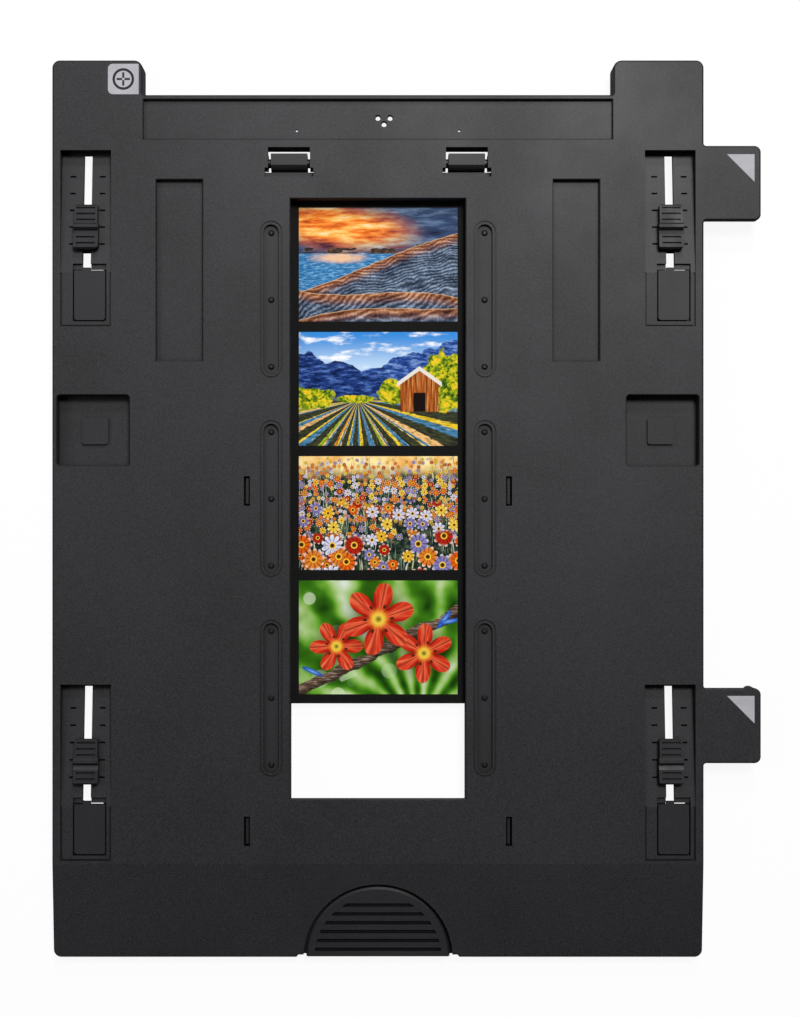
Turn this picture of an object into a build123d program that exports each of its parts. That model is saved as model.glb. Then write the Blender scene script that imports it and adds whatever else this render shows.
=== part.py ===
"""Medium-format negative carrier for a flatbed scanner.

A moulded upper frame lies over the glass on four height sliders.  A hinged cover on its
underside clamps one strip of 120 roll film between staked guide rails.

Axes: +X to the index tabs, +Y to the horned end, +Z up, away from the glass.
Everything is drawn with z = 0 on the frame's underside and x = y = 0 at the middle of the
frame's rectangle, then moved by `to_origin` so that the feet stand on z = 0 and the origin
lies at the bottom centre of the whole carrier.
"""
from build123d import *
import math
import os

os.makedirs("parts", exist_ok=True)

# ------------------------------------------------------------ driving dimensions, mm
# Heights above the glass
body_thickness = 7.0       # underside to top skin
film_height = 3.0          # film above the glass at the default setting
foot_drop = 1.0            # feet below the underside at the default setting
film_thickness = 0.15
cover_gap = 0.05           # cover to film
slack = 0.05               # flat faces that only lie against each other

# Moulded walls
skin = 2.2                 # top skin
wall = 1.6                 # outer walls and recess walls
rib = 1.2                  # stiffening ribs
rib_lift = 2.0             # ribs stop this far above the underside
rib_rows = 9               # cross ribs in each side field
edge_bevel = 0.6           # outer top edge
edge_break = 0.3           # lips of the recesses
corner_radius = 2.6
round_sides = 16           # sides of the rounds that repeat
small_round_sides = 12     # sides of the smallest ones

# Film and window
film_width = 61.5
film_length = 176.8
film_bearing = 0.5         # film edge lying on the window rim
film_tuck = 2.0            # film end hidden beyond the window
film_side_gap = 0.2        # film edge to guide rail
window_length = 207.2
window_break = 0.3
cover_window_relief = 1.1  # cover's window beyond the frame's, at the front

# Guide rails, staked through the frame
rail_width = 11.8
rail_length = 56.0
rail_margin = 0.45         # rows of rails inside the ends of the window
rail_flange = 1.8
rail_lip = 1.5             # width of the lip beside the film
rail_lip_drop = 0.5        # lip below the film
rail_rows = 3
stake_side = 1.3           # square stake
stake_gap = 0.05
stake_head_radius = 1.15
stake_head_crown = 0.5     # flat top of the head
stake_head_height = 0.65
stake_spacing = 23.1
stadium_length = 54.4
stadium_width = 7.85
stadium_groove = 0.6       # width of the ring groove
stadium_groove_depth = 0.35
stadium_rim = 0.65         # between the ring groove and the trench
trench_depth = 1.2

# Latches
latch_gap = 1.4            # rail to slot
slot_width = 2.1
slot_length = 10.2
hook_thickness = 0.9
hook_head = 0.45
hook_side_gap = 0.1        # head to the slot's inner side
hook_end_gap = 0.7
hook_below_top = 0.9
latch_rear = 106.3         # rear pair, from the window's front edge
latch_front = 11.1         # front pair, beyond the window's front edge

# Cover
cover_edge = 2.5           # latch centre to cover edge
cover_front_band = 19.2    # window edge to the cover's front edge
cover_rib = 1.4
cover_rib_clear = 0.5      # cover ribs below the skin
cover_corner = 3.0
bay_clearance = 0.5
groove_gap = 0.25          # cover groove round the rail lips
thumb_width = 26.0
thumb_length = 3.4
thumb_side_gap = 1.5
thumb_room = 3.5           # fingertip room beyond the thumb lip

# Hinges
hinge_spacing = 61.4
hinge_to_window = 12.75
hinge_height = 3.6
barrel_radius = 2.9
barrel_width = 12.6
barrel_shoulder = 1.0      # squared part of the barrel, from the pin to the film side
barrel_arm = 0.6           # arm's end, from the pin to the film side
barrel_side_gap = 0.95
pin_radius = 1.55
pin_running_gap = 0.05
pin_seat_gap = 0.02
ear_thickness = 2.2
ear_radius = 2.8
hinge_window_rear = 5.0    # window beyond the pin
hinge_window_front = 5.2   # window on the film side of the pin
hinge_window_step = 2.1    # where it widens
hinge_window_flare = 1.15  # how much it widens on each side
cover_hinge_gap = 0.3      # barrel to the cover's rear edge

# Horned end
notch_width = 162.4
notch_depth = 11.95
notch_corner = 3.0
notch_root = 0.8
strip_rim = 1.6
strip_length = 13.65
strip_width = 161.8
strip_depth = 1.4
hinge_gap = 7.8            # strip recess to hinge pin
cluster_mouth = 1.03       # three tapered pin holes: radius at the recess floor
cluster_throat = 0.6       # and below the skin
cluster_x = 2.1
cluster_y = 0.8            # middle of the cluster beyond the middle of the strip recess
cluster_pitch = 4.2
cluster_rise = 2.15
vent_radius = 0.45         # two vent holes
vent_x = 28.1
vent_inset = 3.2

# Side fields
plain_gap = 12.8           # cover edge to the plain recess
plain_width = 15.95
plain_length = 62.5
plain_depth = 2.0
plain_rear_gap = 10.15     # its rear edge below the trough's rear edge
square_width = 25.05
square_length = 24.5
square_depth = 4.5
square_edge = 1.6
square_gap = 23.6          # trough to square recess
square_radius = 1.2
square_pad = 9.2
square_pad_rise = 0.9
square_pad_radius = 1.0

# Height sliders
height_step = 0.5          # film height gained per mark
mark_pitch = 5.92
mark_count = 5
rest_mark = 3              # marks passed from the highest setting to the default one
first_mark = 8.5
mark_length = 2.05
mark_width = 0.6
mark_depth = 0.4
mark_offset = 4.1
trough_gap = 15.6          # plain recess to trough
trough_width = 17.5
trough_length = 60.85
trough_edge = 2.85
trough_shallow = 0.35      # depth of the level part in front of the ramp
ramp_length = 42.2
border_width = 0.6         # groove round the level part
border_depth = 0.5
trough_rear = 31.05        # rear edge of the frame to the rear trough
trough_front_gap = 1.0     # front trough to the slope
ramp_floor = 1.6
slider_slot = 2.87
slider_slot_start = 0.95
slot_offset = 0.2          # slot's middle from the trough's middle
knob_width = 8.5
knob_taper = 0.3
knob_front = 8.2
knob_rear = 7.3
knob_height = 2.75
knob_lip = 0.5             # bevel at both ends
knob_corner = 1.2
crest_height = 0.55        # thumb crest above the rest of the knob
crest_rear = 0.8           # its foot, behind the mark
crest_rise = 0.7           # length of its rear face
crest_width = 0.95
crest_fall = 0.85          # length of its steep front face
crest_valley = 0.6         # valley in front of it, below the rest of the knob
valley_rise = 1.5          # length of the valley's front face
knob_groove = 0.7
knob_groove_depth = 0.6
knob_groove_pitch = 2.1
knob_groove_length = 6.5
rear_grooves = 3
rear_groove_start = 1.85   # first groove behind the mark
front_grooves = 2
front_groove_start = 4.25  # first groove in front of the mark
neck_length = 6.0
neck_gap = 0.15
foot_width = 8.3
foot_front = 8.0           # foot's ends, from the mark
foot_rear = 4.6
foot_bevel = 0.5

# Slot plugs
pocket_width = 11.6
pocket_offset = 1.3
pocket_shelf = 1.95
pocket_shelf_depth = 1.0
pocket_front = 1.8
plug_gap = 0.5
plug_rear_gap = 0.4
plug_corner = 1.0
plug_sink = 0.1
plug_flange = 1.2
plug_overlap = 0.5
plug_clear = 0.85
plug_setback = 0.8         # flange behind the plate's rear edge
plug_nub = 1.0
plug_slit = 4.1            # open slit beside the nub

# Front slope and finger grip
slope_gap = 3.1
slope_length = 33.0
slope_drop = 2.5
grip_radius = 24.85
grip_groove = 1.0          # groove round the grip
grip_thickness = 2.0
grip_setback = 0.35
grip_bevel = 0.7
grip_ridges = 6
ridge_pitch = 3.14
ridge_width = 1.2
ridge_depth = 1.2
ridge_margin = 2.85
ridge_front = 1.92
peg_radius = 1.4
peg_gap = 0.05
peg_spacing = 26.0
peg_y = 9.0
peg_below = 0.6
edge_notch_width = 5.6     # at its mouth, beyond the front edge
edge_notch_depth = 0.8
edge_notch_middle = 1.3    # its middle, from the grip's edge
edge_notch_slant = 50

# Index tabs
tab_reach = 19.75
tab_length = 25.8
tab_thickness = 2.4
tab_rib_inset = 1.8        # rib frame under the tab, inside its edge
tab_radius = 2.2
tab_root = 1.0
tab_rear = 29.5            # rear edge of the frame to the rear tab
tab_pitch = 187.3
nub_chord = 3.2
nub_rise = 0.75
nub_inset = 4.0

# Label
label_width = 10.6
label_length = 10.5
label_thickness = 0.15
label_inset = 1.35
label_side = 1.3           # label to the horn's inner side
label_corner = 1.5

# ------------------------------------------------------------ derived places
top = body_thickness
ceiling = top - skin
film_z = film_height - foot_drop
seat_z = film_z + film_thickness
cover_top = film_z - cover_gap

window_width = film_width - 2 * film_bearing
rail_inner = film_width / 2 + film_side_gap
rail_x = rail_inner + rail_width / 2
latch_x = rail_inner + rail_width + latch_gap + slot_width / 2
cover_half = latch_x + cover_edge
plain_x = cover_half + plain_gap + plain_width / 2
trough_x = cover_half + plain_gap + plain_width + trough_gap + trough_width / 2
half_width = trough_x + trough_width / 2 + trough_edge

body_length = (notch_depth + strip_rim + strip_length + hinge_gap + hinge_to_window
               + window_length + cover_front_band + slope_gap + slope_length)
rear = body_length / 2
front = -rear
notch_y = rear - notch_depth
strip_y = notch_y - strip_rim - strip_length / 2
hinge_y = notch_y - strip_rim - strip_length - hinge_gap
window_rear = hinge_y - hinge_to_window
window_front = window_rear - window_length
window_y = (window_rear + window_front) / 2
cover_front = window_front - cover_front_band
cover_rear = hinge_y - barrel_radius - cover_hinge_gap
bay_rear = hinge_y + hinge_window_rear
bay_front = cover_front - bay_clearance
slope_y = front + slope_length
slope_angle = math.degrees(math.atan(slope_drop / slope_length))
latch_ys = (window_front + latch_rear, window_front - latch_front)
rail_pitch = (window_length - 2 * rail_margin) / rail_rows
rail_ys = [window_y + (row - (rail_rows - 1) / 2) * rail_pitch for row in range(rail_rows)]

slope = height_step / mark_pitch
ramp_angle = math.degrees(math.atan(slope))
level_z = top - trough_shallow
last_mark = first_mark + (mark_count - 1) * mark_pitch
rest_y = -(first_mark + rest_mark * mark_pitch)
hole_start = last_mark + foot_front + plug_clear
plug_ledge = hole_start - plug_overlap
shelf_start = hole_start - pocket_shelf
pocket_end = trough_length - pocket_front
pocket_left = pocket_offset - pocket_width / 2
pocket_right = pocket_offset + pocket_width / 2
slot_left = slot_offset - slider_slot / 2
slot_right = slot_offset + slider_slot / 2
trough_rears = (rear - trough_rear, slope_y + trough_front_gap + trough_length)
square_x = half_width - square_edge - square_width / 2
square_y = trough_rears[0] - trough_length - square_gap - square_length / 2
plain_y = trough_rears[0] - plain_rear_gap - plain_length / 2
tab_ys = (rear - tab_rear - tab_length / 2, rear - tab_rear - tab_length / 2 - tab_pitch)

below = -5.0               # cutters start well below the underside
above = top + 1.0          # and end above the skin
near = 0.01                # tolerance when corners are picked

to_origin = Pos(-tab_reach / 2, 0, foot_drop)
sides = (("left", -1), ("right", 1))


# ------------------------------------------------------------ small helpers
def block(x0, x1, y0, y1, z0, z1):
    """Box between two corners."""
    return Pos((x0 + x1) / 2, (y0 + y1) / 2, (z0 + z1) / 2) * Box(x1 - x0, y1 - y0, z1 - z0)


def prism_x(points, width, x=0.0):
    """Outline of (y, z) points drawn out to a width along X."""
    outline = make_face(Polyline(*points, close=True))
    return Pos(x, 0, 0) * extrude(Plane.YZ * outline, width / 2, both=True)


def rod_x(radius, length, x, y, z):
    """Round bar along X."""
    return Pos(x, y, z) * Rot(0, 90, 0) * Cylinder(radius, length)


def pocket(plan, floor, lip):
    """Cutter for a recess with a broken top edge."""
    shaft = Pos(0, 0, floor) * extrude(plan, above - floor)
    flare = Pos(0, 0, top - lip) * extrude(plan, 3 * lip, taper=-45)
    return shaft + flare


def ramp_z(y, drop=0.0):
    """Height of the ramp at a distance -y from the trough's rear edge."""
    return level_z - slope * (ramp_length + y) - drop


def faceted_cone(base, crown, height):
    """Cone standing on z = 0 with few sides, from its base radius to its crown radius."""
    inset = (base - crown) * math.cos(math.pi / small_round_sides)
    taper = math.degrees(math.atan(inset / height))
    return extrude(RegularPolygon(base, small_round_sides), height, taper=taper)


def corners(sketch, test):
    """Vertices of a sketch that pass a test on their x and y."""
    return sketch.vertices().filter_by(lambda v: test(v.X, v.Y))


def adjuster_places():
    """The four troughs: their names and where each trough's rear edge lies."""
    for row, y in zip(("rear", "front"), trough_rears):
        for side, sign in sides:
            yield f"{row}_{side}", Pos(sign * trough_x, y, 0)


# ------------------------------------------------------------ main frame
def frame_plan():
    """Plan of the frame's body: a rectangle with a wide notch and two front nicks."""
    plan = Rectangle(2 * half_width, body_length)
    plan -= Pos(0, rear) * Rectangle(notch_width, 2 * notch_depth)
    horn = corners(plan, lambda x, y: abs(abs(x) - notch_width / 2) < near and y > rear - near)
    plan = fillet(horn, notch_corner)
    notch = corners(plan, lambda x, y: abs(abs(x) - notch_width / 2) < near and abs(y - notch_y) < near)
    plan = fillet(notch, notch_root)
    outer = corners(plan, lambda x, y: abs(abs(x) - half_width) < near and abs(y) > rear - near)
    plan = fillet(outer, corner_radius)
    nick = Trapezoid(edge_notch_width, 2 * edge_notch_depth, edge_notch_slant)
    for _, sign in sides:
        plan -= Pos(sign * (grip_radius + edge_notch_middle), front) * nick
    return plan


def tab_plan():
    """Plan of the two index tabs and of the nub on the front one."""
    plan = Sketch()
    for y in tab_ys:
        plan += Pos(half_width, y) * Rectangle(2 * tab_reach, tab_length)
    plan = fillet(corners(plan, lambda x, y: x > half_width), tab_radius)
    nub_radius = (nub_chord ** 2 / 4 + nub_rise ** 2) / (2 * nub_rise)
    nub_y = tab_ys[1] + tab_length / 2 + nub_rise - nub_radius
    return plan + Pos(half_width + tab_reach - nub_inset, nub_y) * Circle(nub_radius)


def slope_profile(depth, y0, y1):
    """Section of all that lies deeper than `depth` below the top, from y0 to y1."""
    return [(y0, below), (y0, top - depth - slope_drop * (slope_y - y0) / slope_length),
            (slope_y, top - depth), (y1, top - depth), (y1, below)]


def frame_shell():
    """Solid body with its front slope, thin index tabs and bevelled top edges."""
    body = extrude(frame_plan(), body_thickness)
    body += Pos(0, 0, top - tab_thickness) * extrude(tab_plan(), tab_thickness)
    root = body.edges().filter_by(Axis.Z).filter_by(
        lambda e: abs(e.center().X - half_width) < near and abs(e.center().Y) < rear - corner_radius - 1)
    body = fillet(root, tab_root)
    reach = 2 * (half_width + tab_reach) + 2
    body &= prism_x(slope_profile(0, front - 1, rear + 1), reach)
    rim = body.edges().filter_by(lambda e: on_top(e.position_at(0)) and on_top(e.position_at(1)))
    return chamfer(rim, edge_bevel)


def on_top(point):
    """True for a point on the top skin or on the front slope."""
    fall = max(0.0, slope_y - point.Y) * slope_drop / slope_length
    return abs(point.Z - (top - fall)) < near


def underside_hollow():
    """The hollow below the skin, inside the outer walls."""
    hollow = block(-half_width + wall, half_width - wall, front + wall, rear - wall, below, top)
    hollow -= block(-notch_width / 2 - wall, notch_width / 2 + wall, notch_y - wall, rear, below, above)
    return hollow & prism_x(slope_profile(skin, front, rear), 2 * half_width)


def tab_ribs():
    """Rib frame hanging from each index tab, set in from the tab's edge."""
    frames = []
    x = half_width + tab_reach - tab_rib_inset
    for y in tab_ys:
        half = tab_length / 2 - tab_rib_inset
        outer = block(half_width - slack, x, y - half, y + half, rib_lift, top - tab_thickness)
        frames.append(outer - block(half_width, x - rib, y - half + rib, y + half - rib, 0, top))
    return frames


def ribs():
    """Stiffening ribs: a grid in the side fields and short ones at both ends."""
    grid = []
    bay = cover_half + bay_clearance
    bay_box = block(-bay - wall, bay + wall, bay_front - wall, bay_rear + wall, 0, top)
    grid.append(bay_box - block(-bay, bay, bay_front, bay_rear, below, above))
    lane_x = plain_x + (plain_width + trough_gap) / 2
    pitch = (notch_y - slope_y) / rib_rows
    for _, sign in sides:
        grid.append(block(sign * lane_x - rib / 2, sign * lane_x + rib / 2, front, rear, rib_lift, top))
        for row in range(rib_rows):
            y = slope_y + row * pitch
            inner, outer = sorted((sign * bay, sign * half_width))
            grid.append(block(inner, outer, y - rib / 2, y + rib / 2, rib_lift, top))
    for x in (-hinge_spacing, -hinge_spacing / 2, -cluster_x, hinge_spacing / 2, hinge_spacing):
        grid.append(block(x - rib / 2, x + rib / 2, bay_rear, notch_y, rib_lift, top))
        grid.append(block(x - rib / 2, x + rib / 2, front, bay_front, rib_lift, top))
    return grid


def thumb_room_cut():
    """Notch in the bay's front wall for the cover's thumb lip and a fingertip."""
    half = thumb_width / 2 + thumb_side_gap
    end = cover_front - thumb_length - thumb_room
    cut = block(-half, half, end, bay_front, below, top)
    return cut & prism_x(slope_profile(skin, front, rear), 2 * half_width)


def ramp_underside(start, end):
    """Section below a trough's floor: under the ramp, then level under the slot plug."""
    return [(start, ramp_z(start, ramp_floor)), (-plug_ledge, ramp_z(-plug_ledge, ramp_floor)),
            (end, ramp_z(-plug_ledge, ramp_floor))]


def recess_walls():
    """Blocks that leave a wall and a floor round each recess of the top skin."""
    blocks = []
    strip_floor = top - strip_depth - wall
    blocks.append(block(-strip_width / 2 - wall, strip_width / 2 + wall, strip_y - strip_length / 2 - wall,
                        strip_y + strip_length / 2 + wall, strip_floor, top))
    for _, sign in sides:
        for x, y, width, length, depth in (
                (plain_x, plain_y, plain_width, plain_length, plain_depth),
                (square_x, square_y, square_width, square_length, square_depth)):
            blocks.append(block(sign * x - width / 2 - wall, sign * x + width / 2 + wall,
                                y - length / 2 - wall, y + length / 2 + wall, top - depth - wall, top))
    for _, place in adjuster_places():
        section = ramp_underside(wall, -trough_length - wall)
        section += [(-trough_length - wall, top), (wall, top)]
        blocks.append(place * prism_x(section, trough_width + 2 * wall))
    rim_side = rail_inner - slack
    blocks.append(block(-rim_side, rim_side, window_front, window_rear + wall, seat_z, top))
    grip_wall = grip_radius + grip_groove + wall
    floor = prism_x(slope_profile(0, front, slope_y + 1), 2 * grip_wall)
    floor -= prism_x(slope_profile(grip_thickness + wall, front - 1, slope_y + 2), 2 * grip_wall + 2)
    blocks.append(floor & (Pos(0, front, 0) * Cylinder(grip_wall, 4 * top)))
    return blocks


def hinge_ears():
    """Two ears per hinge, rounded about the pin, hanging from the skin."""
    ears = []
    for _, sign in sides:
        for step in (-1, 1):
            x = sign * hinge_spacing / 2 + step * (barrel_width / 2 + barrel_side_gap + ear_thickness / 2)
            ear = rod_x(ear_radius, ear_thickness, x, hinge_y, hinge_height)
            ears.append(ear + block(x - ear_thickness / 2, x + ear_thickness / 2, hinge_y - ear_radius,
                                    hinge_y + ear_radius, hinge_height, top))
    return ears


def slider_cuts():
    """Trough, slot, marks, plug pocket and foot lane of one height adjuster."""
    half = trough_width / 2
    section = [(0, ramp_z(0)), (-ramp_length, level_z), (-trough_length, level_z),
               (-trough_length, above), (0, above)]
    cuts = [prism_x(section, trough_width)]
    border = block(-half, half, -trough_length, -ramp_length, level_z - border_depth, above)
    cuts.append(border - block(-half + border_width, half - border_width, -trough_length + border_width,
                               1 - ramp_length, below, above))
    lane = ramp_underside(0, -trough_length) + [(-trough_length, below), (0, below)]
    cuts.append(prism_x(lane, trough_width))
    cuts.append(block(slot_left, slot_right, -hole_start - slack, -slider_slot_start, below, above))
    shelf_ends = (-shelf_start, -hole_start - slack)
    shelf = [(y, ramp_z(y, pocket_shelf_depth)) for y in shelf_ends]
    shelf += [(y, above) for y in reversed(shelf_ends)]
    cuts.append(prism_x(shelf, pocket_width, pocket_offset))
    cuts.append(block(pocket_left, pocket_right, -pocket_end, -hole_start, below, above))
    for mark in range(mark_count):
        y = -(first_mark + mark * mark_pitch)
        for sign in (-1, 1):
            x = slot_offset + sign * (mark_offset + mark_length / 2)
            cuts.append(block(x - mark_length / 2, x + mark_length / 2, y - mark_width / 2,
                              y + mark_width / 2, ramp_z(y, mark_depth), above))
    return cuts


def stadium(inset):
    """Round-ended outline of a guide rail's trench, drawn in by an inset."""
    radius = stadium_width / 2 - inset
    reach = (stadium_length - stadium_width) / 2
    outline = Rectangle(2 * radius, 2 * reach)
    for y in (-reach, reach):
        outline += Pos(0, y) * RegularPolygon(radius, round_sides)
    return outline


def stadium_cuts():
    """Trench inside a fine ring groove, with the square holes of a guide rail's stakes."""
    ring = stadium(0) - stadium(stadium_groove)
    trench = stadium(stadium_groove + stadium_rim)
    cuts = [Pos(0, 0, top - stadium_groove_depth) * extrude(ring, 1),
            Pos(0, 0, top - trench_depth) * extrude(trench, top)]
    hole = stake_side + 2 * stake_gap
    for shift in (-stake_spacing, 0, stake_spacing):
        cuts.append(block(-hole / 2, hole / 2, shift - hole / 2, shift + hole / 2, 0, top))
    return cuts


def hole_cluster():
    """Three tapered pin holes in a triangle in the strip recess."""
    depth = skin + wall
    hole = faceted_cone(cluster_mouth, cluster_throat, depth)
    for x, y in ((-cluster_pitch / 2, 0), (cluster_pitch / 2, 0), (0, -cluster_rise)):
        place = Pos(cluster_x + x, strip_y + cluster_y + y, top - strip_depth)
        yield place * Rot(180, 0, 0) * hole


def hinge_cuts(x):
    """Window over one hinge, wider on the film side, and the bore for its pin."""
    narrow = barrel_width / 2 + barrel_side_gap
    wide = narrow + hinge_window_flare
    return [block(x - narrow, x + narrow, hinge_y - hinge_window_step, hinge_y + hinge_window_rear,
                  ceiling - 1, above),
            block(x - wide, x + wide, hinge_y - hinge_window_front, hinge_y - hinge_window_step,
                  ceiling, above),
            rod_x(pin_radius + pin_seat_gap, 2 * barrel_width, x, hinge_y, hinge_height)]


def top_cuts():
    """Recesses, window, slots and small holes of the top skin."""
    cuts = list(hole_cluster())
    strip = Rectangle(strip_width, strip_length)
    cuts.append(Pos(0, strip_y, 0) * pocket(strip, top - strip_depth, edge_break))
    window = Rectangle(window_width, window_length)
    cuts.append(Pos(0, window_y, 0) * pocket(window, below, window_break))
    plain = Rectangle(plain_width, plain_length)
    square = RectangleRounded(square_width, square_length, square_radius)
    pad = extrude(RectangleRounded(square_pad, square_pad, square_pad_radius), square_pad_rise)
    square_floor = top - square_depth
    well = pocket(square, square_floor, edge_break) - Pos(0, 0, square_floor) * pad
    for _, sign in sides:
        cuts.append(Pos(sign * plain_x, plain_y, 0) * pocket(plain, top - plain_depth, edge_break))
        cuts.append(Pos(sign * square_x, square_y, 0) * well)
        cuts.append(Pos(sign * vent_x, strip_y - strip_length / 2 + vent_inset, top / 2)
                    * Cylinder(vent_radius, 2 * top))
        cuts += hinge_cuts(sign * hinge_spacing / 2)
        for y in latch_ys:
            cuts.append(block(sign * latch_x - slot_width / 2, sign * latch_x + slot_width / 2,
                              y - slot_length / 2, y + slot_length / 2, ceiling - 1, above))
        for y in rail_ys:
            cuts += [Pos(sign * rail_x, y, 0) * cut for cut in stadium_cuts()]
    return cuts


def grip_seat():
    """Location on the front slope, at the middle of the front edge, z along the slope's normal."""
    return Pos(0, front, top - slope_drop) * Rot(slope_angle, 0, 0)


def grip_cuts():
    """Half-round seat of the finger grip with its two peg holes."""
    seat = Cylinder(grip_radius + grip_groove, 2 * grip_thickness)
    cuts = [grip_seat() * seat]
    for _, sign in sides:
        cuts.append(grip_seat() * Pos(sign * peg_spacing / 2, peg_y, 0)
                    * Cylinder(peg_radius + peg_gap, 4 * top))
    return cuts


def main_frame():
    """Moulded frame: shell, hollow underside, ribs, recesses and windows."""
    hollow = underside_hollow()
    hollow -= ribs()
    hollow -= recess_walls()
    hollow -= hinge_ears()
    hollow += thumb_room_cut()
    solid = frame_shell() - hollow + tab_ribs()
    solid -= top_cuts()
    solid -= grip_cuts()
    cuts = slider_cuts()
    for _, place in adjuster_places():
        solid -= [place * cut for cut in cuts]
    return solid


# ------------------------------------------------------------ film cover
def film_cover():
    """Hinged clamp frame with its window, edge ribs, barrels and four hooks."""
    length = cover_rear - cover_front
    middle = (cover_rear + cover_front) / 2
    plan = RectangleRounded(2 * cover_half, length, cover_corner)
    inner = RectangleRounded(2 * (cover_half - cover_rib), length - 2 * cover_rib, cover_corner - cover_rib)
    cover = Pos(0, middle, 0) * extrude(plan, cover_top)
    cover += Pos(0, middle, 0) * extrude(plan - inner, ceiling - cover_rib_clear)
    thumb = RectangleRounded(thumb_width, 2 * thumb_length, thumb_length / 2)
    cover += Pos(0, cover_front, 0) * extrude(thumb, cover_top)
    cover -= block(-thumb_width / 2, thumb_width / 2, cover_front, cover_front + cover_rib,
                   cover_top, top)
    window = Rectangle(window_width, window_length + cover_window_relief)
    cover -= Pos(0, window_y - cover_window_relief / 2, -1) * extrude(window, top)
    groove_floor = film_z - rail_lip_drop - groove_gap
    for _, sign in sides:
        for y in rail_ys:
            inner_x, outer_x = sorted((sign * (rail_inner - groove_gap),
                                       sign * (rail_inner + rail_lip + groove_gap)))
            cover -= block(inner_x, outer_x, y - rail_length / 2 - groove_gap,
                           y + rail_length / 2 + groove_gap, groove_floor, top)
        for y in latch_ys:
            cover += latch_hook(sign, y)
        cover += hinge_barrel(sign * hinge_spacing / 2)
    return cover


def latch_hook(sign, y):
    """Hook whose head leans to the film side of its slot."""
    head = slot_width / 2 - hook_side_gap
    shank = head - hook_head
    tip = top - hook_below_top
    outline = [(-shank, 0), (-shank, ceiling), (-head, ceiling + hook_head), (-head, tip - hook_head),
               (-shank, tip), (hook_thickness - shank, tip), (hook_thickness - shank, 0)]
    section = make_face(Polyline(*[(sign * x, z) for x, z in outline], close=True))
    hook = extrude(Plane.XZ * section, (slot_length - 2 * hook_end_gap) / 2, both=True)
    return Pos(sign * latch_x, y, 0) * hook


def hinge_barrel(x):
    """Barrel with a squared rear shoulder, its arm and the bore for the pin."""
    barrel = rod_x(barrel_radius, barrel_width, x, hinge_y, hinge_height)
    shoulder = block(x - barrel_width / 2, x + barrel_width / 2, hinge_y - barrel_shoulder,
                     hinge_y + barrel_radius, hinge_height, hinge_height + barrel_radius)
    arm = block(x - barrel_width / 2, x + barrel_width / 2, cover_rear - cover_rib,
                hinge_y - barrel_arm, 0, hinge_height)
    bore = rod_x(pin_radius + pin_running_gap, barrel_width + 1, x, hinge_y, hinge_height)
    return barrel + shoulder + arm - bore


def hinge_pin(x):
    """Pin through both ears and the barrel."""
    length = barrel_width + 2 * (barrel_side_gap + ear_thickness)
    return rod_x(pin_radius, length, x, hinge_y, hinge_height)


# ------------------------------------------------------------ film and guides
def film_strip():
    """One strip of roll film lying on the cover's rim."""
    end = window_rear + film_tuck
    return block(-film_width / 2, film_width / 2, end - film_length, end, film_z, seat_z)


def film_guide(sign, y):
    """Rail beside the film with three stakes headed over on the top side."""
    inner, outer = sorted((sign * rail_inner, sign * (rail_inner + rail_width)))
    lip_inner, lip_outer = sorted((sign * rail_inner, sign * (rail_inner + rail_lip)))
    rail = block(inner, outer, y - rail_length / 2, y + rail_length / 2, ceiling - rail_flange, ceiling)
    rail += block(lip_inner, lip_outer, y - rail_length / 2, y + rail_length / 2,
                  film_z - rail_lip_drop, ceiling)
    floor = top - trench_depth
    stem = Pos(0, 0, (ceiling + floor) / 2) * Box(stake_side, stake_side, floor - ceiling)
    head = faceted_cone(stake_head_radius, stake_head_crown, stake_head_height)
    for shift in (-stake_spacing, 0, stake_spacing):
        rail += Pos(sign * rail_x, y + shift, 0) * (stem + Pos(0, 0, floor) * head)
    return rail


# ------------------------------------------------------------ height sliders and plugs
def knob_section():
    """Side outline of the knob: distance from the mark, height above the ramp."""
    crest = knob_height + crest_height
    valley = -crest_fall - crest_width + crest_rear - crest_rise
    return [(-knob_front, slack), (knob_rear, slack), (knob_rear, knob_height - knob_lip),
            (knob_rear - knob_lip, knob_height), (crest_rear, knob_height),
            (crest_rear - crest_rise, crest), (crest_rear - crest_rise - crest_width, crest),
            (valley, knob_height - crest_valley), (valley - valley_rise, knob_height),
            (knob_lip - knob_front, knob_height), (-knob_front, knob_height - knob_lip)]


def knob():
    """Grooved knob, with its mark at y = 0 and the ramp at z = 0."""
    tall = knob_height + crest_height + 1
    plan = RectangleRounded(knob_width, knob_front + knob_rear, knob_corner)
    body = Pos(0, (knob_rear - knob_front) / 2) * extrude(plan, tall)
    body &= prism_x(knob_section(), knob_width)
    half = knob_width / 2
    for side in (-1, 1):
        x0, x1 = sorted((side * (half - knob_taper), side * (half + 1)))
        body -= block(x0, x1, crest_rear, knob_rear + 1, 0, tall)
    grooves = [rear_groove_start + knob_groove_pitch * step for step in range(rear_grooves)]
    grooves += [-front_groove_start - knob_groove_pitch * step for step in range(front_grooves)]
    for y in grooves:
        body -= block(-knob_groove_length / 2, knob_groove_length / 2, y - knob_groove / 2,
                      y + knob_groove / 2, knob_height - knob_groove_depth, tall)
    return body


def height_slider():
    """Knob on the ramp, neck through the slot and foot below, in one piece."""
    seat = Pos(slot_offset, rest_y, ramp_z(rest_y)) * Rot(-ramp_angle, 0, 0)
    neck_width = slider_slot - 2 * neck_gap
    neck = block(-neck_width / 2, neck_width / 2, -neck_length / 2, neck_length / 2,
                 -ramp_floor - 2 * slack, 2 * slack)
    foot = Pos(slot_offset, rest_y) * block(-foot_width / 2, foot_width / 2, -foot_front, foot_rear,
                                            -foot_drop, top)
    foot = chamfer(foot.edges().filter_by(Axis.Z), foot_bevel)
    under = seat * block(-foot_width, foot_width, -3 * foot_front, 3 * foot_front,
                         -3 * top, -ramp_floor - slack)
    return seat * (knob() + neck) + (foot & under)


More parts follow.
